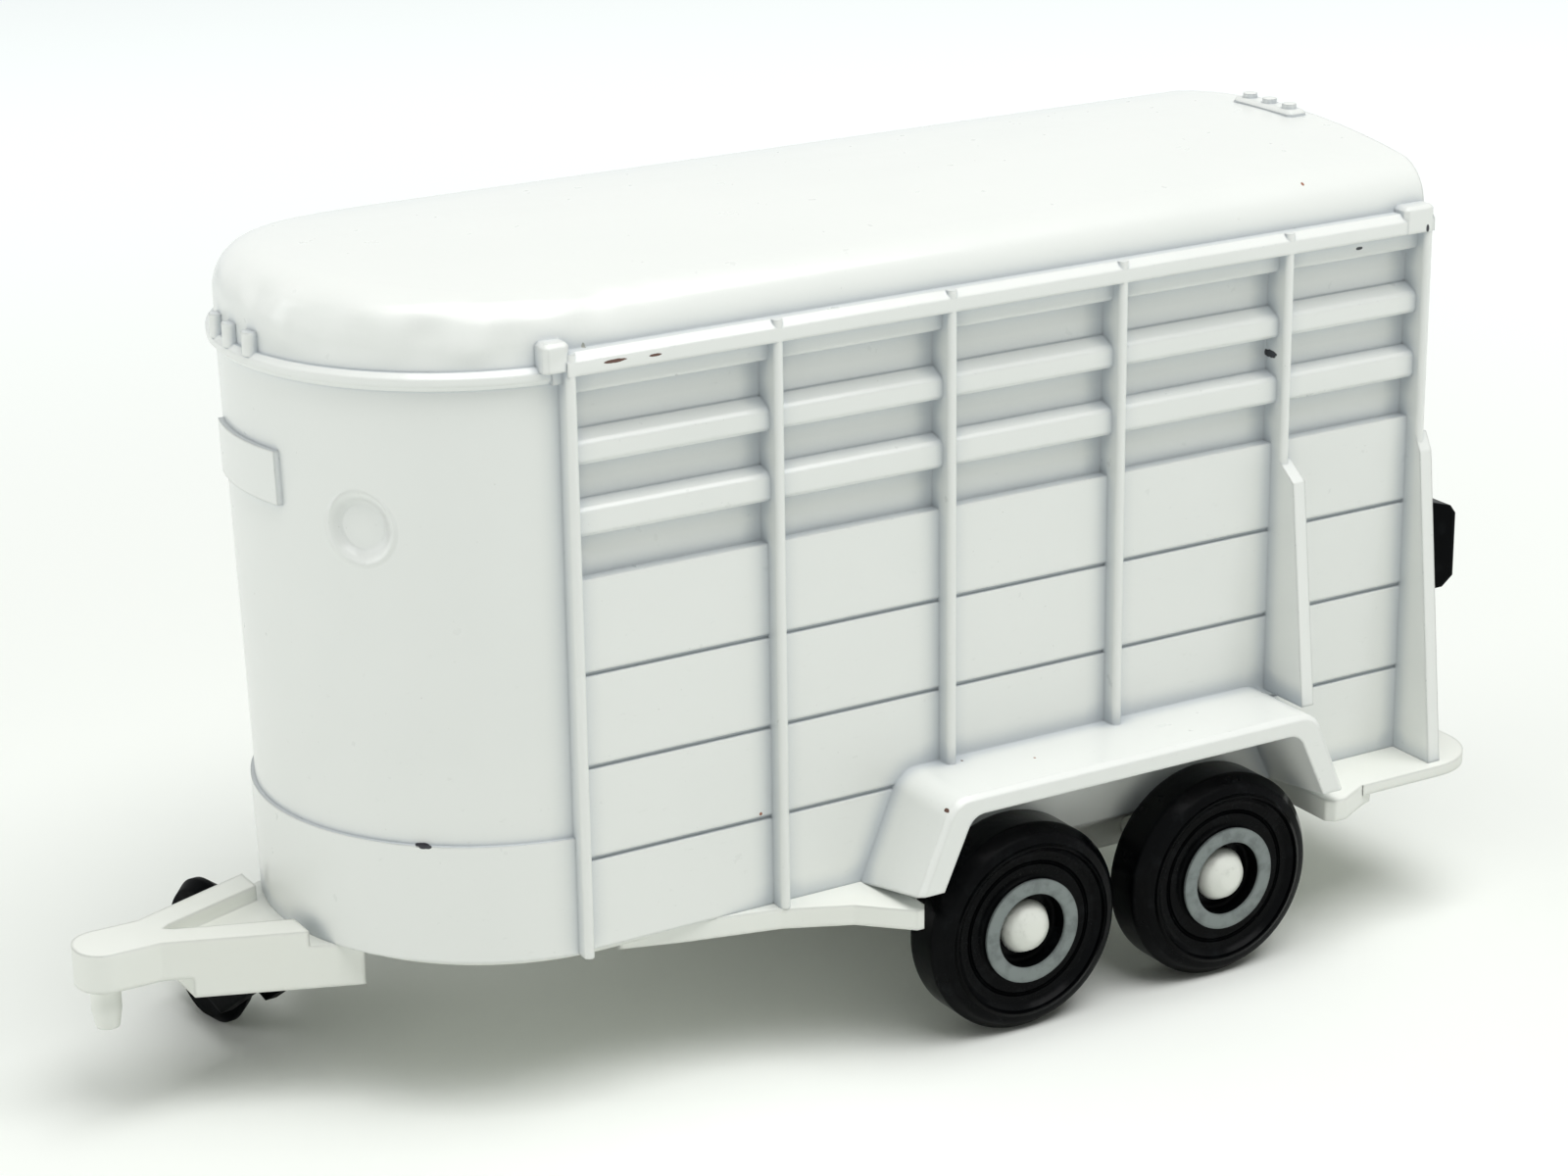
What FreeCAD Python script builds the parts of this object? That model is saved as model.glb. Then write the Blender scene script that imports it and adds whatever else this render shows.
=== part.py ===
"""Toy cattle trailer: a cast body and fenders, a moulded base with drawbar, a rear door,
two axles with four wheels and a swivelling support wheel. Millimetres; +X forward, +Y left."""
import FreeCAD, Part
import math
import os
import Sketcher
from FreeCAD import Vector

doc = FreeCAD.newDocument("cattle_trailer")

SIZES = [
    # name, size in mm, what it is
    ("front_post_x", 20.6, "front side post, ahead of the origin"),
    ("body_half", 15.05, "centreline to the face of the side planks"),
    ("side_wall", 1.75, "thickness of the side walls behind that face"),
    ("nose_low", 13.3, "reach of the nose ahead of the front post, at the floor"),
    ("nose_lean", 1.0, "how far the nose leans out up to the eave, by the casting draft"),
    ("nose_wall", 1.3, "thickness of the nose"),
    ("floor_z", 10.88, "underside of the cast body"),
    ("wall_high", 37.32, "floor to eave"),
    ("roof_rise", 5.24, "eave to the crown of the roof"),
    ("crown_radius", 72.0, "radius of the roof's crown"),
    ("shoulder", 3.0, "radius of the roof's shoulder"),
    ("roof_wall", 1.3, "thickness of the roof"),
    ("eave_step", 0.15, "step inside the shell where the roof begins"),
    ("bead_out", 0.55, "how far the eave bead stands out round the nose"),
    ("bead_under", 0.85, "underside of the eave bead, below the eave"),
    ("bead_high", 1.1, "height of the eave bead"),
    ("rail_under", 0.35, "underside of the side rail, below the eave"),
    ("rail_over", 1.0, "top of the side rail, above the eave"),
    ("post_wide", 0.66, "width of a side post"),
    ("post_out", 1.2, "how far posts and rail stand out from the planks"),
    ("flare_high", 22.6, "floor to where the two rear posts begin to flare"),
    ("plank_high", 24.0, "floor to the top ledge of the planks"),
    ("groove_wide", 0.28, "width of a groove between planks"),
    ("groove_deep", 0.22, "depth of a groove between planks"),
    ("recess", 0.85, "depth of the recess behind the slats"),
    ("slat_edge", 0.22, "chamfer of the slats"),
    ("rail_edge", 0.5, "chamfer along the top of the rail"),
    ("band_high", 7.72, "height of the thicker band round the foot of the nose"),
    ("band_out", 0.28, "how far that band stands out"),
    ("fender_out", 6.4, "how far a fender stands out from the planks"),
    ("fender_high", 7.12, "floor to the top of a fender"),
    ("fender_front", 20.1, "front foot of a fender, behind the front post"),
    ("fender_long", 34.6, "length of a fender at its feet"),
    ("fender_lean", 3.0, "how far the ends of a fender lean in"),
    ("fender_wall", 1.3, "thickness of a fender"),
    ("fender_rise", 1.25, "how far a fender's feet rise from the planks to its outer edge"),
    ("fender_edge", 0.35, "chamfer of a fender's outer edge"),
    ("fender_round", 1.9, "radius of a fender's top corners"),
    ("trim_out", 0.35, "how far the nose plate stands out"),
    ("nose_plate_half", 4.2, "half width of the plate on the nose"),
    ("nose_plate_up", 28.32, "floor to the underside of the plate on the nose"),
    ("nose_plate_high", 3.4, "height of the plate on the nose"),
    ("dish_up", 27.72, "floor to the middle of the round dish in the nose"),
    ("dish_turn", 38.0, "degrees from dead ahead to the dish"),
    ("dish_radius", 2.35, "radius of the dish at its rim"),
    ("dish_floor", 1.45, "radius of the dish's flat floor"),
    ("dish_deep", 0.5, "depth of the dish"),
    ("lamp_over", 0.75, "how far the front marker lamps stand above the rail"),
    ("rear_lamp_over", 0.45, "how far the rear marker lamps stand above the rail"),
    ("lamp_edge", 0.25, "chamfer of the lamps"),
    ("front_lamp_long", 1.4, "front marker lamp"),
    ("rear_lamp_long", 2.5, "rear marker lamp"),
    ("eave_lamp_pitch", 2.5, "spacing of the three lamps over the nose"),
    ("eave_lamp_radius", 0.55, "radius of those lamps"),
    ("eave_lamp_over", 1.45, "top of those lamps above the eave"),
    ("bar_lamp_half", 3.2, "half length of the lamp bar on the roof"),
    ("bar_lamp_wide", 1.6, "width of the lamp bar on the roof"),
    ("bar_lamp_high", 0.35, "height of the lamp bar above the crown"),
    ("bar_lamp_inset", 0.55, "lamp bar ahead of the roof's rear edge"),
    ("plate_thick", 0.75, "thickness of the base plate's edge"),
    ("plate_inset", 1.1, "inset of the base plate under the body"),
    ("slab_thick", 1.4, "thickness of the base plate inside that edge"),
    ("slab_inset", 4.0, "inset of that thicker part under the body"),
    ("bumper_long", 4.07, "rear edge of the bumper, behind the body"),
    ("bumper_out", 4.55, "how far the bumper stands out from the planks"),
    ("bumper_round", 4.2, "corner radius of the bumper"),
    ("tab_front", 53.6, "front end of the tabs ahead of the bumper, behind the front post"),
    ("tab_back", 57.4, "rear end of those tabs"),
    ("tab_out", 5.7, "how far a tab stands out from the planks"),
    ("tab_thick", 1.5, "thickness of a tab"),
    ("wedge_start", 3.3, "where the front foothold leaves the plate"),
    ("wedge_knee", 17.8, "where the foothold turns out"),
    ("knee_out", 2.95, "how far the foothold stands out there"),
    ("wedge_end", 21.6, "rear end of the front foothold"),
    ("wedge_out", 5.8, "how far the foothold stands out at its rear end"),
    ("wedge_thick", 1.35, "thickness of the foothold"),
    ("bar_reach", 27.2, "tip of the drawbar, ahead of the front post"),
    ("bar_over", 1.02, "top of the drawbar above the body's underside"),
    ("bar_under", 1.53, "underside of the drawbar's tongue below the body's underside"),
    ("tip_half", 2.0, "half width of the drawbar at its tip"),
    ("tongue_long", 4.9, "length of the tongue, from the tip to where the arms spread"),
    ("arm_half", 5.3, "half width of the drawbar at its rear end"),
    ("arm_gap", 0.6, "gap between the arms' rear ends and the nose"),
    ("arm_wide", 2.1, "width of one arm"),
    ("pocket_web", 0.9, "tongue to the front point of the pocket between the arms"),
    ("pocket_over", 0.02, "floor of that pocket above the body's underside"),
    ("block_web", 0.8, "front of the block under the drawbar, behind the pocket's point"),
    ("block_inset", 2.5, "rear of that block, behind the front of the nose"),
    ("block_under", 2.83, "underside of the block below the body's underside"),
    ("peg_back", 1.8, "hitch peg, behind the drawbar's tip"),
    ("peg_collar_radius", 1.15, "radius of the collar at the hitch peg's root"),
    ("peg_collar_high", 0.4, "height of that collar"),
    ("peg_radius", 0.95, "radius of the hitch peg's shank"),
    ("peg_shank_long", 1.4, "length of the shank below the collar"),
    ("peg_tip_radius", 0.75, "radius of the hitch peg at its tip"),
    ("peg_tip_long", 1.2, "length of the tapered tip"),
    ("wheel_radius", 7.1, "road wheel"),
    ("wheel_wide", 4.2, "width of a road wheel"),
    ("wheel_out", 5.35, "outer face of a road wheel, from the side planks"),
    ("axle_front", 29.8, "front axle, behind the front post"),
    ("axle_gap", 15.7, "distance between the axles"),
    ("carrier_y", 8.0, "middle of an axle carrier, from the centreline"),
    ("carrier_wide", 2.6, "width of an axle carrier"),
    ("carrier_under", 1.2, "underside of the axle carriers, below the axles"),
    ("carrier_end", 2.6, "ends of the axle carriers, past the axles"),
    ("axle_radius", 0.8, "radius of an axle"),
    ("axle_play", 0.06, "running clearance of a wheel, a spindle or a hinge pin"),
    ("axle_fit", 0.04, "clearance of an axle in its carriers"),
    ("head_radius", 1.82, "radius of an axle's domed head"),
    ("head_dome", 1.35, "height of that dome"),
    ("rim_outer", 3.55, "outer radius of the raised rim ring"),
    ("rim_inner", 2.55, "inner radius of the raised rim ring"),
    ("well_deep", 1.25, "depth of the well inside the rim ring"),
    ("side_play", 0.12, "side clearance of a wheel"),
    ("jockey_ahead", 1.0, "support wheel, ahead of the front of the nose"),
    ("jockey_y", 10.1, "support wheel, right of the centreline"),
    ("jockey_radius", 4.86, "radius of the support wheel"),
    ("jockey_wide", 2.2, "width of the support wheel"),
    ("trail", 9.5, "support wheel to its spindle"),
    ("jockey_yaw", 94.0, "degrees that the support wheel is turned out"),
    ("spindle_radius", 0.7, "radius of the spindle"),
    ("spindle_deep", 1.9, "how far the spindle reaches into the block under the drawbar"),
    ("crown_thick", 1.0, "thickness of the fork's crown"),
    ("crown_reach", 4.2, "how far the crown reaches from the spindle towards the wheel"),
    ("tine", 0.8, "thickness of a fork tine"),
    ("door_thick", 1.3, "thickness of the rear door"),
    ("door_play", 0.25, "gap round the rear door"),
    ("hinge_radius", 0.6, "radius of the door's hinge pins"),
    ("hinge_inset", 1.0, "hinge line of the rear door, from the inside of the right wall"),
    ("hinge_deep", 1.2, "how far the door's pins reach into base and roof"),
    ("handle_out", 3.15, "how far the door handle stands out"),
    ("handle_up", 11.52, "floor to the underside of the door handle"),
    ("handle_high", 6.4, "height of the door handle"),
    ("handle_foot", 3.3, "width of the handle's foot on the door"),
]

# Places worked out from the sizes: each is a sum or a difference of the names after it
PLACES = {
    "body_inside": ("body_half", "-side_wall"),
    "nose_high": ("nose_low", "nose_lean"),
    "eave_z": ("floor_z", "wall_high"),
    "roof_top": ("eave_z", "roof_rise"),
    "rail_low": ("eave_z", "-rail_under"),
    "rail_top": ("eave_z", "rail_over"),
    "flare_top": ("floor_z", "flare_high"),
    "plank_top": ("floor_z", "plank_high"),
    "band_top": ("floor_z", "band_high"),
    "fender_top": ("floor_z", "fender_high"),
    "nose_plate_low": ("floor_z", "nose_plate_up"),
    "nose_plate_top": ("nose_plate_low", "nose_plate_high"),
    "dish_z": ("floor_z", "dish_up"),
    "lamp_top": ("rail_top", "lamp_over"),
    "rear_lamp_top": ("rail_top", "rear_lamp_over"),
    "bead_low": ("eave_z", "-bead_under"),
    "bead_top": ("bead_low", "bead_high"),
    "eave_lamp_top": ("eave_z", "eave_lamp_over"),
    "wheel_face": ("body_half", "wheel_out"),
    "bumper_half": ("body_half", "bumper_out"),
    "tab_half": ("body_half", "tab_out"),
    "wedge_half": ("body_half", "wedge_out"),
    "knee_half": ("body_half", "knee_out"),
    "bar_top": ("floor_z", "bar_over"),
    "bar_low": ("floor_z", "-bar_under"),
    "arm_end": ("nose_low", "arm_gap"),
    "tongue_end": ("bar_reach", "-tongue_long"),
    "pocket_tip": ("tongue_end", "-pocket_web"),
    "pocket_floor": ("floor_z", "pocket_over"),
    "block_front": ("pocket_tip", "-block_web"),
    "block_back": ("nose_low", "-block_inset"),
    "block_low": ("floor_z", "-block_under"),
    "peg_x": ("bar_reach", "-peg_back"),
    "peg_collar_low": ("bar_low", "-peg_collar_high"),
    "peg_shank_low": ("peg_collar_low", "-peg_shank_long"),
    "peg_low": ("peg_shank_low", "-peg_tip_long"),
    "carrier_low": ("wheel_radius", "-carrier_under"),
    "jockey_x": ("nose_low", "jockey_ahead"),
    "crown_top": ("block_low", "-side_play"),
    "spindle_top": ("block_low", "spindle_deep"),
    "hinge_y": ("body_inside", "-hinge_inset"),
    "handle_low": ("floor_z", "handle_up"),
    "handle_top": ("handle_low", "handle_high"),
}

sheet = doc.addObject("Spreadsheet::Sheet", "Sizes")
for row, (name, value, note) in enumerate(SIZES, start=1):
    sheet.set("A%d" % row, note)
    sheet.set("B%d" % row, str(value))
    sheet.setAlias("B%d" % row, name)
doc.recompute()


class Size:
    """A length with its value and the sheet formula that gives it."""

    def __init__(self, value, formula):
        self.value = value
        self.formula = formula

    def joined(self, other, sign, value):
        text = other.formula if isinstance(other, Size) else repr(float(other))
        return Size(value, "(%s %s %s)" % (self.formula, sign, text))

    def __add__(self, other):
        return self.joined(other, "+", self.value + float(other))

    def __sub__(self, other):
        return self.joined(other, "-", self.value - float(other))

    def __mul__(self, other):
        return self.joined(other, "*", self.value * float(other))

    def __truediv__(self, other):
        return self.joined(other, "/", self.value / float(other))

    def __neg__(self):
        return Size(-self.value, "(-%s)" % self.formula)

    def __float__(self):
        return self.value


def size(name):
    """A named size, or a place worked out from sizes."""
    if name.startswith("-"):
        return -size(name[1:])
    if name not in PLACES:
        return Size(float(sheet.get(name)), "Sizes." + name)
    first, second = PLACES[name]
    return size(first) + size(second)


def mm(name):
    return float(size(name))


ZERO = Size(0.0, "0")
front_x = size("front_post_x")


def bind(feature, prop, length):
    setattr(feature, prop, float(length))
    feature.setExpression(prop, length.formula)


def place(feature, x=ZERO, y=ZERO, z=ZERO, rotation=None):
    """Set where a feature stands, bound to the sheet."""
    turn = rotation if rotation is not None else FreeCAD.Rotation()
    feature.Placement = FreeCAD.Placement(Vector(float(x), float(y), float(z)), turn)
    for axis, length in (("x", x), ("y", y), ("z", z)):
        feature.setExpression("Placement.Base." + axis, length.formula)


def origin_plane(body, role):
    for item in body.Origin.OriginFeatures:
        if item.Role == role:
            return item
    raise ValueError(role)


def sketch_on(body, role, name, offset=None):
    sketch = body.newObject("Sketcher::SketchObject", name)
    sketch.AttachmentSupport = [(origin_plane(body, role), "")]
    sketch.MapMode = "FlatFace"
    if offset is not None:
        sketch.AttachmentOffset = FreeCAD.Placement(Vector(0, 0, float(offset)), FreeCAD.Rotation())
        sketch.setExpression("AttachmentOffset.Base.z", offset.formula)
    return sketch


def outline(sketch, corners):
    """Close an outline through corners (x, y) or (x, y, radius, turn): the third and fourth
    make the side that ends there an arc, turning left (1) or right (-1)."""
    Constraint = Sketcher.Constraint
    count = len(corners)
    for index in range(count):
        x0, y0 = (float(v) for v in corners[index - 1][:2])
        x1, y1 = (float(v) for v in corners[index][:2])
        start = Vector(x0, y0, 0)
        end = Vector(x1, y1, 0)
        if len(corners[index]) == 2:
            sketch.addGeometry(Part.LineSegment(start, end), False)
            continue
        radius = float(corners[index][2])
        turn = corners[index][3]
        chord = end - start
        half = chord.Length / 2
        rise = radius - math.sqrt(max(radius ** 2 - half ** 2, 0.0))
        side = Vector(chord.y, -chord.x, 0).normalize() * turn
        middle = (start + end) * 0.5 + side * rise
        sketch.addGeometry(Part.ArcOfCircle(start, middle, end), False)
    for index in range(count):
        corner = corners[index]
        turn = corner[3] if len(corner) == 4 else 1
        end_point = 2 if turn == 1 else 1
        after = corners[(index + 1) % count]
        start_point = 1 if (len(after) == 2 or after[3] == 1) else 2
        following = (index + 1) % count
        sketch.addConstraint(Constraint("Coincident", index, end_point, following, start_point))
        spots = (("DistanceX", corner[0]), ("DistanceY", corner[1]))
        for kind, length in spots:
            number = sketch.addConstraint(Constraint(kind, -1, 1, index, end_point, float(length)))
            sketch.setExpression("Constraints[%d]" % number, length.formula)
        if len(corner) == 4:
            number = sketch.addConstraint(Constraint("Radius", index, float(corner[2])))
            sketch.setExpression("Constraints[%d]" % number, corner[2].formula)


def pad(body, sketch, length, name):
    feature = body.newObject("PartDesign::Pad", name)
    feature.Profile = sketch
    bind(feature, "Length", length)
    sketch.Visibility = False
    doc.recompute()
    return feature


def pocket(body, sketch, length, name, upward=True):
    """Cut upward from the sketch's plane, or downward."""
    before = body.Shape.Volume
    feature = body.newObject("PartDesign::Pocket", name)
    feature.Profile = sketch
    feature.Reversed = upward
    bind(feature, "Length", length)
    doc.recompute()
    if body.Shape.Volume >= before - 1e-6:
        raise ValueError("nothing cut by " + name)
    return feature


def revolve(body, sketch, axis, name):
    feature = body.newObject("PartDesign::Revolution", name)
    feature.Profile = sketch
    feature.ReferenceAxis = (sketch, [axis])
    feature.Angle = 360.0
    doc.recompute()
    return feature


def new_body(label):
    body = doc.addObject("PartDesign::Body", label)
    body.Label = label
    return body


def part_feature(label, shape):
    feature = doc.addObject("Part::Feature", label)
    feature.Label = label
    feature.Shape = shape
    return feature


def box(x0, x1, y0, y1, z0, z1):
    return Part.makeBox(x1 - x0, y1 - y0, z1 - z0, Vector(x0, y0, z0))


def leaning_block(inset, half, rear_x, low, high):
    """The body's plan carried upward: straight sides, and a half-round nose that leans out by
    the casting draft. The nose keeps the given inset behind the outer face of its wall."""
    floor, eave = mm("floor_z"), mm("eave_z")
    lean = (mm("nose_high") - mm("nose_low")) / (eave - floor)
    way = Vector(lean, 0, 1).normalize()
    axis_x = mm("front_post_x") + mm("nose_low") - inset - half
    way = Vector(lean, 0, 1)
    foot, head = axis_x + (low - floor) * lean, axis_x + (high - floor) * lean
    below = Vector(foot, 0, low) - way * 5
    nose = Part.makeCylinder(half, high - low + 10, below, way)
    reach = 2 * half
    ahead = [Vector(foot, -reach, low), Vector(foot + reach, -reach, low),
             Vector(head + reach, -reach, high), Vector(head, -reach, high)]
    nose = nose.common(Part.Face(Part.makePolygon(ahead + ahead[:1])).extrude(Vector(0, 2 * reach, 0)))
    side = [Vector(rear_x, -half, low), Vector(foot, -half, low), Vector(head, -half, high),
            Vector(rear_x, -half, high)]
    sides = Part.Face(Part.makePolygon(side + side[:1])).extrude(Vector(0, 2 * half, 0))
    return sides.fuse(nose).removeSplitter()


def roof_block(inset, half, rear_x, low, crown, radius, shoulder, round_nose=True):
    """The roof: the same plan, upright, under a crowned top with a rounded shoulder. Inside the
    shell only the sides have the shoulder, so the nose of the hollow ends in a plain corner."""
    centre_x = mm("front_post_x") + mm("nose_high") - inset - half
    high = crown + 1
    nose = Part.makeCylinder(half, high - low, Vector(centre_x, 0, low))
    sides = box(rear_x, centre_x, -half, half, low, high)
    long = centre_x + half - rear_x
    drum = Part.makeCylinder(radius, long + 2, Vector(rear_x - 1, 0, crown - radius), Vector(1, 0, 0))
    if round_nose:
        block = sides.fuse(nose).removeSplitter().common(drum)
    else:
        block = box(rear_x - 1, centre_x + half, -half, half, low, high).common(drum)
    top_edges = []
    for edge in block.Edges:
        bounds = edge.BoundBox
        if bounds.ZMin > low + 1 and bounds.XMax > rear_x + 1 and bounds.XMax - bounds.XMin > 1:
            top_edges.append(edge)
    block = block.makeFillet(shoulder, top_edges)
    return block if round_nose else block.common(sides.fuse(nose))


def edges_at_top(shape, top):
    return [edge for edge in shape.Edges if edge.BoundBox.ZMax > top - 0.01]


def mirrored(shape):
    return shape.mirror(Vector(0, 0, 0), Vector(0, 1, 0))


# Side posts: distance behind the front post, what the foot stands on, and how far a flared
# post stands out from the planks at the head of its flare and at the floor
POSTS = [
    ("post_1", 0.0, "floor_z", 0, 0),
    ("post_2", 13.96, "floor_z", 0, 0),
    ("post_3", 26.4, "fender_top", 0, 0),
    ("post_4", 39.3, "fender_top", 0, 0),
    ("post_5", 52.5, "fender_top", 2.45, 4.9),
    ("post_6", 64.0, "floor_z", 1.5, 3.8),
]

# Slats of a bay: underside above the planks' ledge, height of the face, how far it stands out
# from the planks, and how far its sloping top rises behind the face
SLATS = [
    ("lower_slat", 2.8, 1.8, 0.4, 0.25),
    ("middle_slat", 7.25, 1.5, 0.4, 0.45),
    ("upper_slat", 11.65, 1.6, 0.3, 0.1),
]


def post(distance, foot, flare_head, flare_foot):
    """One side post with a half-round outer face, as deep as the recess behind it."""
    low = mm(foot) - (0.5 if foot == "fender_top" else 0.0)
    wide = mm("post_wide")
    inner = mm("body_half") - mm("recess") - 0.1
    outer = mm("body_half") + mm("post_out")
    x = mm("front_post_x") - distance
    shaft = box(x - wide / 2, x + wide / 2, inner, outer - wide / 2, low, mm("rail_top"))
    round_face = Part.makeCylinder(wide / 2, mm("rail_top") - low, Vector(x, outer - wide / 2, low))
    shape = shaft.fuse(round_face)
    if flare_foot:
        back = x - wide
        top = mm("flare_top")
        out = mm("body_half") + flare_foot
        corners = [Vector(back, inner, mm("floor_z")), Vector(back, out, mm("floor_z")),
                   Vector(back, mm("body_half") + flare_head, top - 0.8),
                   Vector(back, outer - wide / 2, top + 0.4), Vector(back, inner, top + 0.4)]
        web = Part.Face(Part.makePolygon(corners + corners[:1])).extrude(Vector(1.5 * wide, 0, 0))
        shape = shape.fuse(web.cut(box(back - 1, x + 5, 0, out + 1, 0, low)))
    return shape


def fender():
    """A flat-topped fender with leaning ends, open below and on its outer side."""
    low, top, lean = mm("floor_z"), mm("fender_top"), mm("fender_lean")
    front = mm("front_post_x") - mm("fender_front")
    rear = front - mm("fender_long")
    y = mm("body_half") - 0.3
    out = mm("body_half") + mm("fender_out") - y
    profile = [Vector(front, y, low), Vector(front - lean, y, top),
               Vector(rear + lean, y, top), Vector(rear, y, low)]
    solid = Part.Face(Part.makePolygon(profile + profile[:1])).extrude(Vector(0, out, 0))
    corners = [edge for edge in solid.Edges
               if abs(edge.BoundBox.ZMin - top) < 0.01 and edge.BoundBox.YMax - edge.BoundBox.YMin > 1]
    solid = solid.makeFillet(mm("fender_round"), corners)
    wall = mm("fender_wall")
    profile = [Vector(front - wall, y, low - 1), Vector(front - wall * 1.1 - lean, y, top - wall),
               Vector(rear + wall * 1.1 + lean, y, top - wall), Vector(rear + wall, y, low - 1)]
    hollow = Part.Face(Part.makePolygon(profile + profile[:1])).extrude(Vector(0, out + 1, 0))
    corners = [edge for edge in hollow.Edges
               if abs(edge.BoundBox.ZMin - top + wall) < 0.01 and edge.BoundBox.YMax - edge.BoundBox.YMin > 1]
    hollow = hollow.makeFillet(mm("fender_round") - 0.6, corners)
    solid = solid.cut(hollow.translated(Vector(0, 0.3, 0)))
    lip_y = y + out
    lip = [edge for edge in edges_at_top(solid, top)
           if edge.BoundBox.YMin > lip_y - 0.01 and edge.BoundBox.ZMin > low + 0.01]
    solid = solid.makeChamfer(mm("fender_edge"), lip)
    foot = [Vector(rear - 1, y, low - 1), Vector(rear - 1, mm("body_half") + 0.3, low),
            Vector(rear - 1, lip_y + 1, low + mm("fender_rise")), Vector(rear - 1, lip_y + 1, low - 1)]
    return solid.cut(Part.Face(Part.makePolygon(foot + foot[:1])).extrude(Vector(front - rear + 2, 0, 0)))


def side_details():
    """Posts, rail, slats and fender of the left side."""
    half, recess = mm("body_half"), mm("recess")
    pieces = [post(distance, foot, head, low) for name, distance, foot, head, low in POSTS]
    front = mm("front_post_x") + mm("post_wide") / 2
    rear = mm("front_post_x") - POSTS[-1][1] - mm("post_wide") / 2
    rail = box(rear, front, half - recess, half + mm("post_out"), mm("rail_low"), mm("rail_top"))
    outer_edges = [edge for edge in edges_at_top(rail, mm("rail_top"))
                   if edge.Length > 5 and edge.BoundBox.YMin > half + mm("post_out") - 0.01]
    pieces.append(rail.makeChamfer(mm("rail_edge"), outer_edges))
    for name, up, high, out, rise in SLATS:
        low, top = mm("plank_top") + up, mm("plank_top") + up + high
        edge, inner = mm("slat_edge"), half - recess - 0.1
        profile = [(inner, low + edge), (half - recess + edge, low + edge), (half + out - edge, low),
                   (half + out, low + edge), (half + out, top - edge), (half + out - edge, top),
                   (half - recess + edge, top + rise), (inner, top + rise)]
        corners = [Vector(rear, y, z) for y, z in profile]
        pieces.append(Part.Face(Part.makePolygon(corners + corners[:1])).extrude(Vector(front - rear, 0, 0)))
    pieces.append(fender())
    return pieces


def side_cuts():
    """Recess behind the slats, the grooves between the planks, on the left side."""
    half, recess = mm("body_half"), mm("recess")
    front = mm("front_post_x")
    rear = front - POSTS[-1][1]
    cuts = [box(rear, front, half - recess, half + 1, mm("plank_top"), mm("rail_low") + 0.2)]
    planks = 4
    pitch = (mm("plank_top") - mm("floor_z")) / planks
    for index in range(1, planks):
        z = mm("floor_z") + index * pitch
        cuts.append(box(rear, front, half - mm("groove_deep"), half + 1,
                        z - mm("groove_wide") / 2, z + mm("groove_wide") / 2))
    return cuts


def side_lamps():
    """The marker lamps at the two ends of the left rail."""
    front = mm("front_post_x") + mm("post_wide") / 2
    rear = mm("front_post_x") - POSTS[-1][1] - mm("post_wide") / 2
    half, out = mm("body_half"), mm("body_half") + mm("post_out")
    top, rear_top = mm("lamp_top"), mm("rear_lamp_top")
    front_lamp = box(front - 0.3, front + mm("front_lamp_long"), half - 0.4, out - 0.1, mm("eave_z"), top)
    rear_lamp = box(rear, rear + mm("rear_lamp_long"), half - 0.4, out + 0.05, mm("rail_low"), rear_top)
    lamps = [(front_lamp, top), (rear_lamp, rear_top)]
    return [lamp.makeChamfer(mm("lamp_edge"), edges_at_top(lamp, high)) for lamp, high in lamps]


def nose_trim():
    """The plate and the three lamps on the nose, and the lamp bar on the roof."""
    front, half, out = mm("front_post_x"), mm("body_half"), mm("trim_out")
    skin = leaning_block(-out, half + out, front - 5, mm("floor_z"), mm("eave_z"))
    width = mm("nose_plate_half")
    plate = skin.common(box(front + 5, front + 20, -width, width, mm("nose_plate_low"), mm("nose_plate_top")))
    pieces = [plate]
    bead_radius = half + mm("bead_out") - 0.45
    for step in (-1, 0, 1):
        angle = step * mm("eave_lamp_pitch") / bead_radius
        x = front + mm("nose_high") - half + bead_radius * math.cos(angle)
        low = mm("bead_top") - 0.25
        spot = Vector(x, bead_radius * math.sin(angle), low)
        pieces.append(Part.makeCylinder(mm("eave_lamp_radius"), mm("eave_lamp_top") - low, spot))
    rear = front - POSTS[-1][1] - mm("post_wide") / 2
    long, wide = mm("bar_lamp_half"), mm("bar_lamp_wide")
    top = mm("roof_top") + mm("bar_lamp_high")
    bar_x = rear + mm("bar_lamp_inset")
    bar = box(bar_x, bar_x + wide, -long, long, mm("roof_top") - 0.6, top)
    pieces.append(bar.makeChamfer(mm("lamp_edge"), edges_at_top(bar, top)))
    for step in (-1, 0, 1):
        pieces.append(Part.makeCylinder(0.5, 0.6, Vector(bar_x + wide / 2, step * long * 0.68, top - 0.3)))
    return pieces


def nose_dish():
    """The cut for the round dish in the nose: a flat floor with a sloping rim."""
    half, deep, rim, flat = mm("body_half"), mm("dish_deep"), mm("dish_radius"), mm("dish_floor")
    turn = math.radians(mm("dish_turn"))
    share = (mm("dish_z") - mm("floor_z")) / (mm("eave_z") - mm("floor_z"))
    reach = mm("nose_low") + (mm("nose_high") - mm("nose_low")) * share
    way = Vector(math.cos(turn), math.sin(turn), 0)
    centre = Vector(mm("front_post_x") + reach - half, 0, mm("dish_z")) + way * (half - deep)
    return Part.makeCone(flat, rim + (rim - flat), deep * 2, centre, way)


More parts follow.
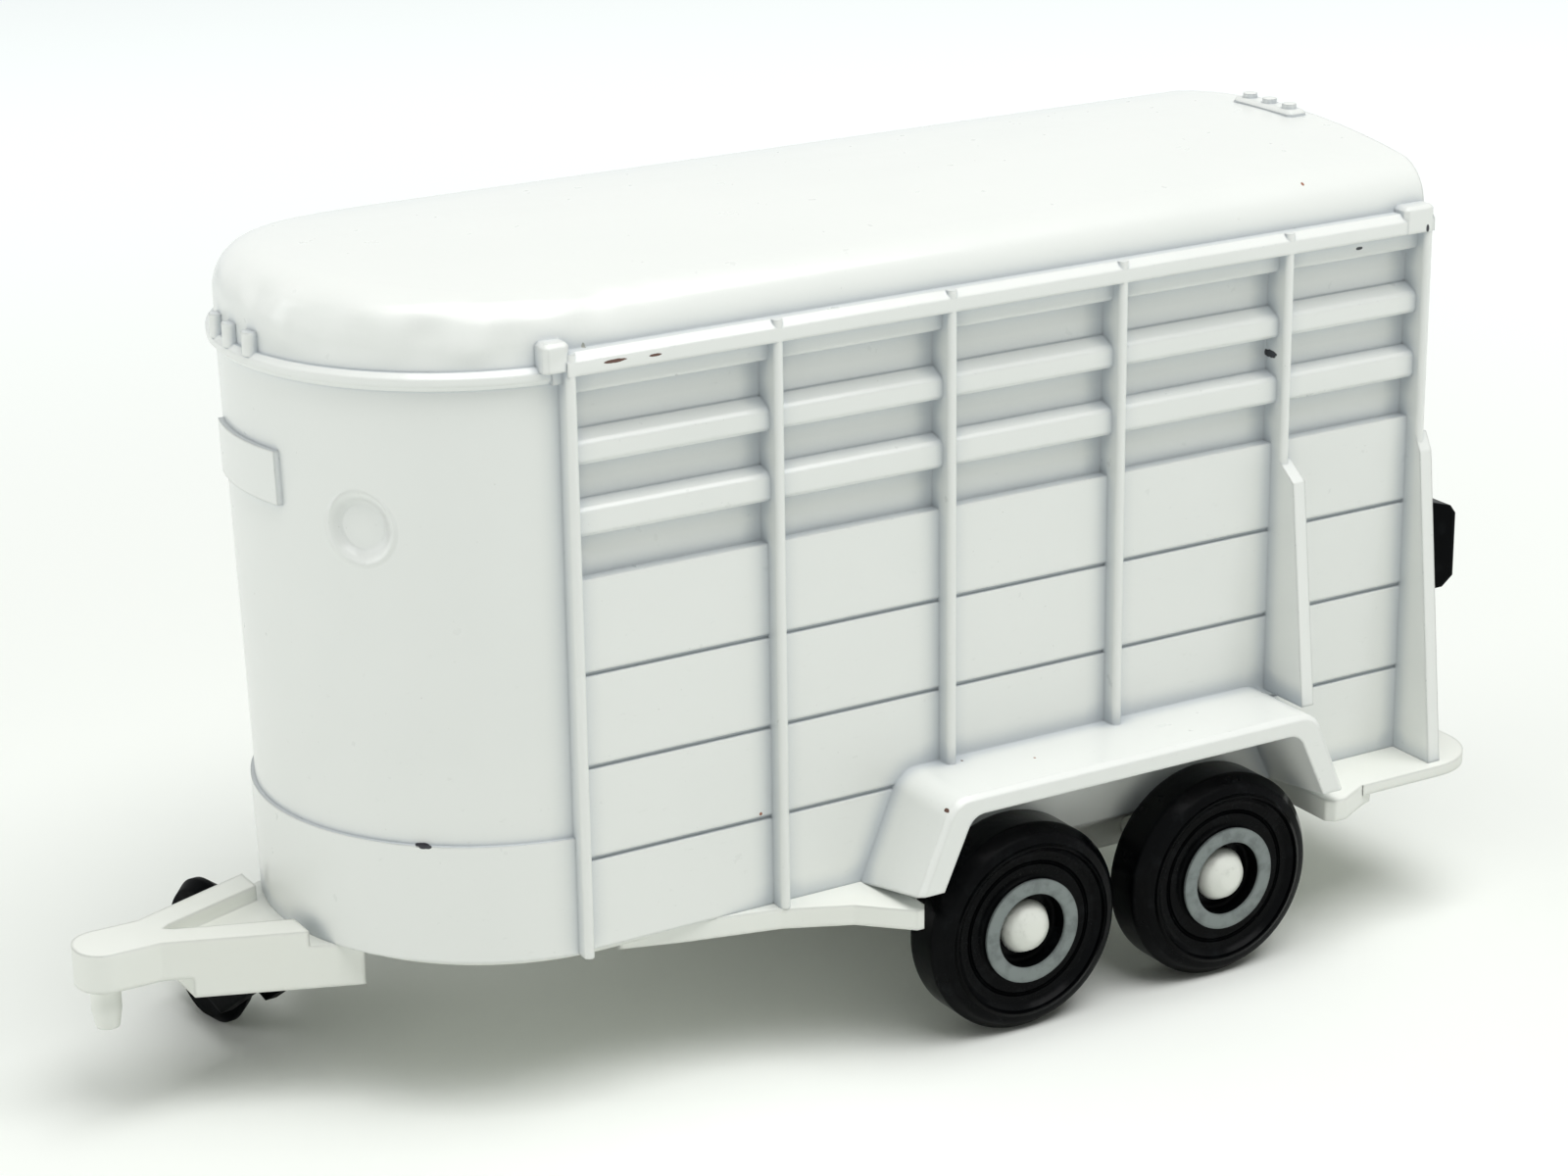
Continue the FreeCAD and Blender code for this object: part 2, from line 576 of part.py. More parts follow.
def body_casting():
    """Walls, roof, posts, slats and fenders cast in one piece, hollow and open at the rear."""
    rear = mm("front_post_x") - POSTS[-1][1] - mm("post_wide") / 2
    half, floor, eave = mm("body_half"), mm("floor_z"), mm("eave_z")
    shell = leaning_block(0, half, rear, floor, eave)
    shell = shell.fuse(roof_block(0, half, rear, eave, mm("roof_top"), mm("crown_radius"), mm("shoulder")))
    behind_post = mm("front_post_x") - 5
    ahead_of_post = box(mm("front_post_x"), mm("front_post_x") + 20, -20, 20, floor, mm("rail_top"))
    band = leaning_block(-mm("band_out"), half + mm("band_out"), behind_post, floor, mm("band_top"))
    bead_low, bead_top = mm("bead_low"), mm("bead_top")
    bead_half = half + mm("bead_out")
    centre_x = mm("front_post_x") + mm("nose_high") + mm("bead_out") - bead_half
    bead = Part.makeCylinder(bead_half, mm("bead_high"), Vector(centre_x, 0, bead_low))
    bead = bead.makeChamfer(mm("bead_out") * 0.6, bead.Edges)
    bead = bead.fuse(box(centre_x - 1, mm("front_post_x") + 1, -bead_half, bead_half, bead_low, bead_top))
    band, bead = band.common(ahead_of_post), bead.common(ahead_of_post)
    for cut in side_cuts():
        shell = shell.cut(cut).cut(mirrored(cut))
    shell = shell.cut(nose_dish())
    shell = shell.fuse([band, bead] + nose_trim())
    pieces = side_details() + side_lamps()
    shell = shell.fuse(pieces + [mirrored(piece) for piece in pieces])
    inside = mm("body_inside")
    wall = mm("nose_wall")
    hollow = leaning_block(wall, inside, rear - 2, floor - 1, eave)
    step = mm("eave_step")
    crown, radius = mm("roof_top") - mm("roof_wall"), mm("crown_radius") - mm("roof_wall")
    hollow = hollow.fuse(roof_block(wall + step, inside - step, rear - 2, eave, crown, radius,
                                    mm("shoulder") - 1.0, False))
    shell = shell.cut(hollow)
    socket_top = mm("roof_top") - mm("hinge_deep") - 0.5
    shell = shell.cut(Part.makeCylinder(mm("hinge_radius") + mm("axle_play"), socket_top - eave,
                                        Vector(float(hinge_x()), -mm("hinge_y"), eave)))
    return part_feature("body_casting", shell.removeSplitter())


def wheel(label, x, y, turn, radius, wide):
    """A moulded wheel: tread, stepped shoulders, raised rim ring and a well round the bore."""
    body = new_body(label)
    sketch = sketch_on(body, "XY_Plane", label + "_profile")
    bore = size("axle_radius") + size("axle_play")
    rim_out, rim_in = size("rim_outer"), size("rim_inner")
    scale = 1.0 if label.startswith("road") else 0.62
    rim_out, rim_in = rim_out * scale, rim_in * scale
    well = size("well_deep") * scale
    corners = [(bore, -wide), (radius - 0.6, -wide), (radius, -wide + 0.7), (radius, ZERO - 1.1),
               (radius - 0.6, ZERO - 0.3), (radius * 0.8, ZERO - 0.02), (radius * 0.735, ZERO - 0.5),
               (rim_out, ZERO - 0.5), (rim_out, ZERO), (rim_in, ZERO), (rim_in, -well), (bore, -well)]
    outline(sketch, [(length, across) for length, across in corners])
    revolve(body, sketch, "V_Axis", label + "_turned")
    rotation = FreeCAD.Rotation(Vector(0, 0, 1), turn)
    place(body, x, y, radius, rotation)
    return body


def axle(label, x):
    """A plain axle with a domed head at each end."""
    body = new_body(label)
    sketch = sketch_on(body, "XY_Plane", label + "_profile")
    seat = size("wheel_face") - size("well_deep") + size("side_play")
    dome = size("head_dome")
    radius, head = size("axle_radius"), size("head_radius")
    near, end = seat + dome * 0.62, seat + dome
    corners = [(ZERO, -end), (head * 0.42, -end), (head * 0.8, -near), (head, -(seat + dome * 0.15)),
               (head, -seat), (radius, -seat), (radius, seat), (head, seat), (head, seat + dome * 0.15),
               (head * 0.8, near), (head * 0.42, end), (ZERO, end)]
    outline(sketch, corners)
    revolve(body, sketch, "V_Axis", label + "_turned")
    place(body, x, ZERO, size("wheel_radius"))
    return body


def plate_outline(inset):
    """The base plate from above, with the given inset under the body: nose, sides and bumper."""
    w = size("body_half") - inset
    nose_x = front_x + size("nose_low") - size("body_half")
    step_x = front_x - size("tab_back")
    rear_x = front_x - POSTS[-1][1] - size("post_wide") / 2 - size("bumper_long")
    out, turn = size("bumper_half"), size("bumper_round")
    return [(nose_x, -w), (nose_x + w, ZERO, w, 1), (nose_x, w, w, 1), (step_x, w), (step_x, out),
            (rear_x + turn, out), (rear_x, out - turn, turn, 1),
            (rear_x, turn - out), (rear_x + turn, -out, turn, 1), (step_x, -out), (step_x, -w)]


def slab_outline():
    """The thicker part of the base plate, inside its edge."""
    w = size("body_half") - size("slab_inset")
    nose_x = front_x + size("nose_low") - size("body_half")
    rear_x = front_x - POSTS[-1][1]
    return [(nose_x, -w), (nose_x + w, ZERO, w, 1), (nose_x, w, w, 1), (rear_x, w), (rear_x, -w)]


def foothold_outline():
    """The left foothold ahead of the front wheel, from above."""
    inner = size("body_half") - size("plate_inset") - 0.7
    start, knee, end = (front_x - size(name) for name in ("wedge_start", "wedge_knee", "wedge_end"))
    out = size("wedge_half")
    return [(start, inner), (start - 4.2, size("body_half") - 0.5), (knee + 4.2, size("body_half") + 1.0),
            (knee, size("knee_half")), (end + 0.9, out), (end + 0.4, out), (end, out - 0.6), (end, inner)]


def tab_outline():
    """The left tab between the rear wheel and the bumper, from above."""
    inner = size("body_half") - size("plate_inset") - 0.7
    front, back = front_x - size("tab_front"), front_x - size("tab_back")
    out = size("tab_half")
    return [(front, inner), (back - 1.0, inner), (back - 1.0, size("bumper_half") - 0.5),
            (back, size("bumper_half") - 0.1), (front - 1.4, out), (front - 0.5, out), (front, out - 0.5)]


def drawbar_outline():
    """The drawbar from above: a blunt tip, a short tongue and two spreading arms."""
    tip = front_x + size("bar_reach")
    tongue = front_x + size("tongue_end")
    half, wide = size("tip_half"), size("arm_half")
    end = front_x + size("arm_end")
    nose = size("tip_half") * 0.9
    return [(end, -wide), (tongue, -half), (tip - nose, -half), (tip, nose - half, nose, 1),
            (tip, half - nose), (tip - nose, half, nose, 1), (tongue, half), (end, wide)]


def base_moulding():
    """Base plate with footholds and bumper, drawbar with its pocket and peg, and axle carriers."""
    body = new_body("base_moulding")
    top = size("floor_z")
    plans = [("plate", plate_outline(size("plate_inset")), size("plate_thick")),
             ("slab", slab_outline(), size("slab_thick"))]
    for name, corners, thick in (("foothold", foothold_outline(), size("wedge_thick")),
                                 ("tab", tab_outline(), size("tab_thick"))):
        plans.append((name + "_left", corners, thick))
        plans.append((name + "_right", [(x, -y) for x, y in reversed(corners)], thick))
    for name, corners, thick in plans:
        plan = sketch_on(body, "XY_Plane", name + "_plan", top - thick)
        outline(plan, corners)
        pad(body, plan, thick, name)
    block = sketch_on(body, "XY_Plane", "block_plan", size("block_low"))
    widen = (size("arm_half") - size("tip_half")) / (size("tongue_end") - size("arm_end"))
    front, back = front_x + size("block_front"), front_x + size("block_back")
    front_half = size("arm_half") - (size("block_front") - size("arm_end")) * widen
    back_half = size("arm_half") + (size("arm_end") - size("block_back")) * widen
    outline(block, [(back, -back_half), (front, -front_half), (front, front_half), (back, back_half)])
    pad(body, block, top - size("block_low"), "block")
    bar = sketch_on(body, "XY_Plane", "drawbar_plan", size("bar_low"))
    outline(bar, drawbar_outline())
    pad(body, bar, size("bar_top") - size("bar_low"), "drawbar")
    gap = sketch_on(body, "XY_Plane", "pocket_plan", size("pocket_floor"))
    end = front_x + size("arm_end") - 0.5
    half = size("arm_half") - size("arm_wide")
    tip = front_x + size("pocket_tip")
    outline(gap, [(end, -half), (tip - 0.5, -(half * 0.12)), (tip, ZERO - 0.0), (tip - 0.5, half * 0.12),
                  (end, half)])
    pocket(body, gap, size("bar_top") - size("pocket_floor") + 1, "arm_pocket")
    for side, sign in (("left", 1), ("right", -1)):
        y = size("carrier_y") * sign
        carrier = sketch_on(body, "XY_Plane", "carrier_" + side, size("carrier_low"))
        x0 = front_x - size("axle_front") - size("axle_gap") - size("carrier_end")
        x1 = front_x - size("axle_front") + size("carrier_end")
        y0, y1 = y - size("carrier_wide") / 2, y + size("carrier_wide") / 2
        outline(carrier, [(x0, y0), (x1, y0), (x1, y1), (x0, y1)])
        pad(body, carrier, top - size("carrier_low") - 0.3, "carrier_pad_" + side)
    spindle_x, spindle_y = spindle_place()
    peg_stages = [("peg_collar", size("peg_collar_radius"), size("peg_collar_low"), size("bar_low") + 0.3),
                  ("peg_shank", size("peg_radius"), size("peg_shank_low"), size("bar_low"))]
    for name, radius, low_z, high_z in peg_stages:
        stage = body.newObject("PartDesign::AdditiveCylinder", name)
        bind(stage, "Radius", radius)
        bind(stage, "Height", high_z - low_z)
        place(stage, front_x + size("peg_x"), ZERO, low_z)
    tip = body.newObject("PartDesign::AdditiveCone", "peg_tip")
    bind(tip, "Radius1", size("peg_tip_radius"))
    bind(tip, "Radius2", size("peg_radius"))
    bind(tip, "Height", size("peg_tip_long"))
    place(tip, front_x + size("peg_x"), ZERO, size("peg_low"))
    doc.recompute()
    play = size("axle_play")
    spindle_end = size("spindle_top") + play
    bores = [("spindle_bore", spindle_x, spindle_y, size("spindle_radius") + play, spindle_end),
             ("hinge_bore", hinge_x(), -size("hinge_y"), size("hinge_radius") + play, size("bar_top"))]
    for name, x, y, radius, high in bores:
        bore = body.newObject("PartDesign::SubtractiveCylinder", name)
        bind(bore, "Radius", radius)
        bind(bore, "Height", high - size("carrier_low"))
        place(bore, x, y, size("carrier_low"))
    for name, distance in (("axle_bore_front", size("axle_front")),
                           ("axle_bore_rear", size("axle_front") + size("axle_gap"))):
        bore = body.newObject("PartDesign::SubtractiveCylinder", name)
        bind(bore, "Radius", size("axle_radius") + size("axle_fit"))
        bind(bore, "Height", size("carrier_y") * 2 + size("carrier_wide") + 2)
        place(bore, front_x - distance, size("carrier_y") + size("carrier_wide") / 2 + 1,
              size("wheel_radius"), FreeCAD.Rotation(Vector(1, 0, 0), 90))
    doc.recompute()
    return body


def spindle_place():
    """Where the support wheel's spindle stands, along the wheel's own line."""
    yaw = "(Sizes.jockey_yaw * 1 deg)"
    angle = math.radians(mm("jockey_yaw"))
    x = front_x + size("jockey_x") + Size(mm("trail") * math.cos(angle), "(Sizes.trail * cos(%s))" % yaw)
    y = Size(mm("trail") * math.sin(angle), "(Sizes.trail * sin(%s))" % yaw) - size("jockey_y")
    return x, y


def hinge_x():
    """The hinge line lies in the middle of the door's thickness."""
    return front_x - POSTS[-1][1] - size("post_wide") / 2 + size("door_thick") / 2


def rear_door():
    """The rear door: a framed panel with two hinge pins and a handle that laps the left post."""
    play, thick = mm("door_play"), mm("door_thick")
    rear = mm("front_post_x") - POSTS[-1][1] - mm("post_wide") / 2
    inside = mm("body_inside") - play
    low = mm("floor_z") + play
    top = mm("roof_top") - mm("roof_wall") - play
    slab = box(rear, rear + thick, -inside, inside, low, mm("eave_z"))
    arch = roof_block(0, inside - mm("eave_step"), rear, mm("eave_z"), top,
                      mm("crown_radius") - mm("roof_wall") - play, mm("shoulder") - 1.0, False)
    slab = slab.fuse(arch.common(box(rear, rear + thick, -inside, inside, 0, top + 1)))
    edge_y = mm("hinge_y") + thick / 2
    slab = slab.cut(box(rear - 1, rear + 5, -inside - 1, -edge_y, 0, top + 1)).removeSplitter()
    middle = rear + thick / 2
    upright = [edge for edge in slab.Edges if edge.BoundBox.ZMax - edge.BoundBox.ZMin > 10]
    hinge_edges = [edge for edge in upright if abs(edge.BoundBox.YMax + edge_y) < 0.01]
    slab = slab.makeFillet(thick * 0.45, hinge_edges)
    panels = 4
    pitch = (mm("eave_z") - low) / panels
    for index in range(panels):
        z = low + index * pitch
        slab = slab.cut(box(rear - 1, rear + 0.4, 2.5 - mm("hinge_y"), mm("hinge_y") - 2.0,
                            z + 1.0, z + pitch - 0.6))
    relief = mm("eave_z") + mm("hinge_radius")
    slab = slab.cut(box(rear - 1, rear + 5, -inside - 1, thick - mm("hinge_y"), relief, top + 1))
    deep = mm("hinge_deep")
    pin_top = mm("roof_top") - mm("hinge_deep") - 0.75
    pin_foot = Vector(middle, -mm("hinge_y"), low - deep)
    pin = Part.makeCylinder(mm("hinge_radius"), pin_top - low + deep, pin_foot)
    slab = slab.fuse(pin)
    out = mm("handle_out")
    lap = mm("body_half") + mm("post_out") - 0.2
    lap_x = rear - mm("post_wide") / 2 - mm("door_play")
    corners = [Vector(lap_x, 0, mm("handle_low")), Vector(rear - out + 0.9, 0, mm("handle_low")),
               Vector(rear - out, 0, mm("handle_low") + 0.7), Vector(rear - out, 0, mm("handle_top") - 1.2),
               Vector(rear - out + 0.45, 0, mm("handle_top") - 0.6), Vector(lap_x, 0, mm("handle_top"))]
    foot_y = mm("body_inside") - mm("handle_foot")
    handle = Part.Face(Part.makePolygon(corners + corners[:1])).extrude(Vector(0, lap - foot_y, 0))
    handle = handle.translated(Vector(0, foot_y, 0))
    foot = box(lap_x - 0.2, rear + 0.3, foot_y, inside - 0.2, mm("handle_low"), mm("handle_top"))
    return part_feature("rear_door", slab.fuse([handle, foot]).removeSplitter())


def jockey_fork():
    """The support wheel's fork: spindle, crown, two broad tines and the wheel's pin."""
    inner = mm("jockey_wide") / 2 + mm("side_play")
    tine, trail, z = mm("tine"), mm("trail"), mm("jockey_radius")
    top = mm("crown_top")
    low, reach, back = top - mm("crown_thick"), mm("crown_reach"), mm("spindle_radius") * 2
    shape = box(-reach, back, -inner - tine, inner + tine, low, top)
    spindle_foot = Vector(0, 0, top - 0.2)
    shape = shape.fuse(Part.makeCylinder(mm("spindle_radius"), mm("spindle_top") - top + 0.2, spindle_foot))
    for side in (1, -1):
        y = side * (inner + tine / 2) - tine / 2
        corners = [Vector(back, y, low), Vector(back, y, top), Vector(-reach, y, top),
                   Vector(-trail + 0.2, y, z + 1.3), Vector(-trail, y, z - 1.3),
                   Vector(-reach - 0.6, y, z * 0.53)]
        web = Part.Face(Part.makePolygon(corners + corners[:1])).extrude(Vector(0, tine, 0))
        boss = Part.makeCylinder(1.3, tine, Vector(-trail, y, z), Vector(0, 1, 0))
        shape = shape.fuse([web, boss])
    pin_end = Vector(-trail, -inner - tine / 2, z)
    pin = Part.makeCylinder(mm("axle_radius"), 2 * inner + tine, pin_end, Vector(0, 1, 0))
    feature = part_feature("jockey_fork", shape.fuse(pin).removeSplitter())
    x, y = spindle_place()
    place(feature, x, y, ZERO, FreeCAD.Rotation(Vector(0, 0, 1), mm("jockey_yaw")))
    return feature


def build_wheels():
    """Four road wheels and the support wheel."""
    made = []
    for place_name, extra in (("front", ZERO), ("rear", size("axle_gap"))):
        x = front_x - size("axle_front") - extra
        made.append(axle("axle_" + place_name, x))
        for side, sign, turn in (("left", 1, 0), ("right", -1, 180)):
            made.append(wheel("road_wheel_%s_%s" % (place_name, side), x, size("wheel_face") * sign, turn,
                              size("wheel_radius"), size("wheel_wide")))
    angle = math.radians(mm("jockey_yaw"))
    yaw = "(Sizes.jockey_yaw * 1 deg)"
    half = mm("jockey_wide") / 2
    face_x = Size(-half * math.sin(angle), "(-0.5 * Sizes.jockey_wide * sin(%s))" % yaw)
    face_y = Size(half * math.cos(angle), "(0.5 * Sizes.jockey_wide * cos(%s))" % yaw)
    made.append(wheel("jockey_wheel", front_x + size("jockey_x") + face_x, face_y - size("jockey_y"),
                      mm("jockey_yaw"), size("jockey_radius"), size("jockey_wide")))
    return made


def build():
    pieces = [body_casting(), base_moulding(), rear_door(), jockey_fork()] + build_wheels()
    doc.recompute()
    for item in doc.Objects:
        if "Invalid" in item.State or "Error" in item.State:
            raise ValueError("failed: " + item.Name)
    os.makedirs("parts", exist_ok=True)
    for piece in pieces:
        shape = piece.Shape
        if shape.isNull() or not shape.isValid():
            raise ValueError("bad shape: " + piece.Label)
        box_size = shape.BoundBox
        print(piece.Label, len(shape.Solids), round(shape.Volume, 1),
              [round(v, 2) for v in (box_size.XMin, box_size.XMax, box_size.YMin, box_size.YMax,
                                     box_size.ZMin, box_size.ZMax)])
        shape.exportStep("parts/%s.step" % piece.Label)


build()
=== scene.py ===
import bpy
from mathutils import Matrix, Vector

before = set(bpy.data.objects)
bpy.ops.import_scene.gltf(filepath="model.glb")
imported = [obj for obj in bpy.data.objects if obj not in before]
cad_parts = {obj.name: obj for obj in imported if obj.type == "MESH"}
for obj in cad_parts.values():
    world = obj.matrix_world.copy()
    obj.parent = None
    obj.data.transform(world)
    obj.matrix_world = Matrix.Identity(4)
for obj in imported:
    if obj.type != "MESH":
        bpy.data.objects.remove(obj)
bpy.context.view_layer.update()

# All lengths and places are in metres, apart from the chips'
MM = 0.001

# Softened edges, worn edges, and painted shade that darkens the corners
EDGE_SOFT = 0.3 * MM
WEAR_RADIUS = 0.12 * MM
CORNER_SHADE_REACH = 1.6 * MM
CORNER_SHADE_SHARE = 0.62
CORNER_SAMPLES = 6

# Fine relief: orange peel in the enamel, and grain in the plastics
PEEL = 0.06 * MM
GRAIN = 0.05 * MM

# Heights between which the dust on the enamel thins out
GRIME_HEIGHTS = (12 * MM, 46 * MM)

# Dents in the paint round the nose's shoulder: their depth, and where they fade in and out
DENT_DEPTH = 1.5 * MM
DENT_FRONT = (12 * MM, 20 * MM)
DENT_FOOT = (48.2 * MM, 49.8 * MM)
DENT_TOP = (51.5 * MM, 53.0 * MM)

# Round dish in the nose: its middle, and the slope, the rim and the depth of its relief
DISH = (31.45 * MM, 9.27 * MM, 38.6 * MM)
DISH_SLOPE = (1.4 * MM, 1.9 * MM)
DISH_RIM = 2.1 * MM
DISH_RIM_HALF = 0.4 * MM
DISH_DEPTH = 0.16 * MM

# Road wheels: their axles, the soft edges of the grey ring, and the two rings in a tyre's side
WHEEL_RADIUS = 7.1 * MM
FRONT_AXLE_X = -9.2 * MM
REAR_AXLE_X = -24.9 * MM
GREY_BEGINS = (2.49 * MM, 2.57 * MM)
GREY_ENDS = (3.52 * MM, 3.58 * MM)
GREY_FACE = (20.2 * MM, 20.3 * MM)
TYRE_GROOVE = 4.55 * MM
TYRE_GROOVE_HALF = 0.16 * MM
TYRE_RIDGE = 5.75 * MM
TYRE_RIDGE_HALF = 0.22 * MM
TYRE_RELIEF = 0.4 * MM

# Gloss
ENAMEL_IOR = 1.5
PLASTIC_IOR = 1.46
BLACK_IOR = 1.45
WHEEL_GLOSS = 0.06

# Colours, linear
ENAMEL = (0.82, 0.835, 0.81, 1)
ENAMEL_SHADE = (0.785, 0.805, 0.78, 1)
# Painted shade: the blue grey that corners and recesses are darkened towards
SHADE_IN_CORNERS = (0.39, 0.44, 0.50, 1)
WORN_EDGE = (0.34, 0.36, 0.38, 1)
GRIME = (0.36, 0.37, 0.33, 1)
PRIMER = (0.10, 0.035, 0.02, 1)
BARE_METAL = (0.012, 0.012, 0.02, 1)
RUST = (0.30, 0.10, 0.05, 1)
MOULDED_WHITE = (0.83, 0.845, 0.80, 1)
MOULDED_SHADE = (0.79, 0.80, 0.74, 1)
BLACK = (0.0016, 0.0019, 0.0023, 1)
BLACK_WORN = (0.0065, 0.0075, 0.0085, 1)
RIM_GREY = (0.235, 0.265, 0.26, 1)
RIM_WORN = (0.17, 0.19, 0.19, 1)
DOME = (0.80, 0.815, 0.76, 1)

# Floor: half its width, its colour, and a glow that grows in two steps away from the toy
FLOOR_REACH = 2.5
FLOOR = (0.925, 0.945, 0.915, 1)
FLOOR_GLOW = (0.93, 1.0, 1.10, 1)
GLOW_NEAR = (0.05, 0.32)
GLOW_NEAR_SHARE = 0.29
GLOW_FAR = (0.40, 1.3)
GLOW_FAR_SHARE = 0.32

# Light: the room's, the background that camera and gloss see, and the lamps
ROOM_LIGHT = (0.96, 1.0, 0.93, 1)
ROOM_STRENGTH = 0.265
BACKGROUND = (0.965, 1.0, 0.99, 1)
BACKGROUND_STRENGTH = 0.97
LAMP_TARGET = (0, 0, 0.02)
KEY_PLACE = (-0.06, 0.20, 0.70)
FILL_PLACE = (0.58, -0.20, 0.20)

# A Mix node's sockets for colours
MIX_SHARE = 0
MIX_FIRST = 6
MIX_SECOND = 7
MIX_RESULT = 2

# Chips in the enamel: middle and half lengths along x, y and z in millimetres, and what shows through
CHIPS = {
    "rail_long": ((17.8, 16.2, 48.42), (0.85, 0.9, 0.13), PRIMER),
    "rail_short": ((15.1, 16.2, 48.36), (0.5, 0.9, 0.10), PRIMER),
    "band": ((29.2, 11.2, 18.58), (0.45, 0.9, 0.18), BARE_METAL),
    "post": ((-31.6, 14.6, 40.9), (0.2, 0.9, 0.3), BARE_METAL),
    "rear_slat": ((-38.15, 15.35, 47.2), (0.3, 0.9, 0.12), BARE_METAL),
    "plank": ((7.8, 15.05, 17.2), (0.13, 0.9, 0.13), RUST),
    "roof": ((19.25, 15.05, 49.2), (0.14, 0.3, 0.3), GRIME),
    "roof_rear": ((-34.4, 13.9, 51.8), (0.12, 0.14, 0.5), RUST),
    "rear_post": ((-43.1, 16.2, 48.1), (0.14, 0.9, 0.3), BARE_METAL),
    "fender_corner": ((-2.25, 20.9, 17.2), (0.10, 0.30, 0.4), PRIMER),
    "fender_front": ((-6.6, 16.0, 18.0), (0.10, 0.14, 0.5), PRIMER),
    "fender_rear": ((-10.8, 18.1, 18.0), (0.10, 0.14, 0.5), RUST),
}


class Graph:
    """The node tree of a material or world. Lengths are in metres of the piece's own frame."""

    def __init__(self, owner):
        owner.use_nodes = True
        self.owner = owner
        self.tree = owner.node_tree
        self.tree.nodes.clear()

    def add(self, kind, *ordered, **named):
        """A node with inputs fed in order or by name, where _ stands for a space."""
        node = self.tree.nodes.new("ShaderNode" + kind)
        for index, value in enumerate(ordered):
            self.feed(node, index, value)
        for key, value in named.items():
            self.feed(node, key.replace("_", " "), value)
        return node

    def feed(self, node, key, value):
        """Link a socket to an input, or set the input to a number or colour."""
        if isinstance(value, bpy.types.NodeSocket):
            self.tree.links.new(value, node.inputs[key])
        else:
            node.inputs[key].default_value = value

    def math(self, operation, *values):
        """The result of one Math node."""
        node = self.add("Math", *values)
        node.operation = operation
        return node.outputs[0]

    def plus(self, first, second):
        return self.math("ADD", first, second)

    def minus(self, first, second):
        return self.math("SUBTRACT", first, second)

    def times(self, first, second):
        return self.math("MULTIPLY", first, second)

    def flip(self, value):
        """1 less a value."""
        return self.minus(1.0, value)

    def squares(self, *values):
        """Sum of the squares."""
        total = self.times(values[0], values[0])
        for value in values[1:]:
            total = self.plus(total, self.times(value, value))
        return total

    def length(self, *values):
        """Root of the sum of the squares."""
        return self.math("SQRT", self.squares(*values))

    def vary(self, base, swing, pattern):
        """A base value that a pattern raises by up to its swing."""
        return self.plus(base, self.times(pattern, swing))

    def ramp(self, value, low, high):
        """0 below low, 1 above high, smooth between."""
        node = self.add("MapRange", value, low, high)
        node.interpolation_type = "SMOOTHSTEP"
        return node.outputs[0]

    def blend(self, share, first, second):
        """The first colour where the share is 0, the second where it is 1."""
        node = self.add("Mix")
        node.data_type = "RGBA"
        self.feed(node, MIX_SHARE, share)
        self.feed(node, MIX_FIRST, first)
        self.feed(node, MIX_SECOND, second)
        return node.outputs[MIX_RESULT]

    def position(self):
        """The point's x, y and z."""
        split = self.add("SeparateXYZ", self.add("TexCoord").outputs["Object"])
        return split.outputs[0], split.outputs[1], split.outputs[2]

    def noise(self, scale, detail, roughness=0.5, stretch=(1, 1, 1)):
        """Noise with its scale per millimetre."""
        place = self.add("TexCoord").outputs["Object"]
        mapping = self.add("Mapping", Vector=place, Scale=[share / MM for share in stretch])
        node = self.add("TexNoise", Vector=mapping.outputs[0], Scale=scale, Detail=detail,
                        Roughness=roughness)
        return node.outputs["Fac"]

    def soft_normal(self, radius):
        """A normal that rounds sharp edges off."""
        node = self.add("Bevel", Radius=radius)
        node.samples = CORNER_SAMPLES
        return node.outputs[0]

    def painted_corner_shade(self, reach):
        """Mask of painted shade: 1 deep in a corner, 0 in the open."""
        node = self.add("AmbientOcclusion", Distance=reach)
        node.samples = CORNER_SAMPLES
        return self.ramp(self.flip(node.outputs["AO"]), 0.05, 0.48)

    def worn_edge(self, radius):
        """1 along sharp edges, 0 on flat faces."""
        flat = self.add("NewGeometry")
        agree = self.add("VectorMath", self.soft_normal(radius), flat.outputs["Normal"])
        agree.operation = "DOT_PRODUCT"
        return self.ramp(self.flip(agree.outputs["Value"]), 0.02, 0.12)

    def ring(self, radius, middle, half):
        """1 at one radius, falling to 0 on either side of it."""
        apart = self.math("ABSOLUTE", self.minus(radius, middle))
        return self.flip(self.ramp(apart, 0.0, half))

    def bump(self, height, distance, strength, normal):
        """A normal with a height worked into it."""
        node = self.add("Bump", Height=height, Distance=distance, Strength=strength, Normal=normal)
        return node.outputs[0]

    def show(self, shader):
        """Send a shader to the material's surface, and give the material."""
        self.add("OutputMaterial", Surface=shader.outputs[0])
        return self.owner

    def finish(self, **inputs):
        """Give the material a Principled shader with these inputs."""
        return self.show(self.add("BsdfPrincipled", **inputs))


def material_graph(name):
    """The empty graph of a new material."""
    return Graph(bpy.data.materials.new(name))


def chip_mask(graph, point, middle, half):
    """1 inside one ragged chip, 0 outside."""
    offsets = []
    for value, centre, reach in zip(point, middle, half):
        offsets.append(graph.times(graph.minus(value, centre * MM), 1 / (reach * MM)))
    ragged = graph.times(graph.noise(3.2, 2.0), 1.1)
    return graph.flip(graph.ramp(graph.plus(graph.squares(*offsets), ragged), 1.2, 1.45))


def shoulder_dents(graph, x, z, normal):
    """Soft dents in the paint round the nose's shoulder."""
    ahead = graph.ramp(x, *DENT_FRONT)
    band = graph.times(graph.ramp(z, *DENT_FOOT), graph.flip(graph.ramp(z, *DENT_TOP)))
    swell = graph.minus(graph.noise(0.30, 0.0), 0.5)
    return graph.bump(graph.times(swell, graph.times(ahead, band)), DENT_DEPTH, 0.6, normal)


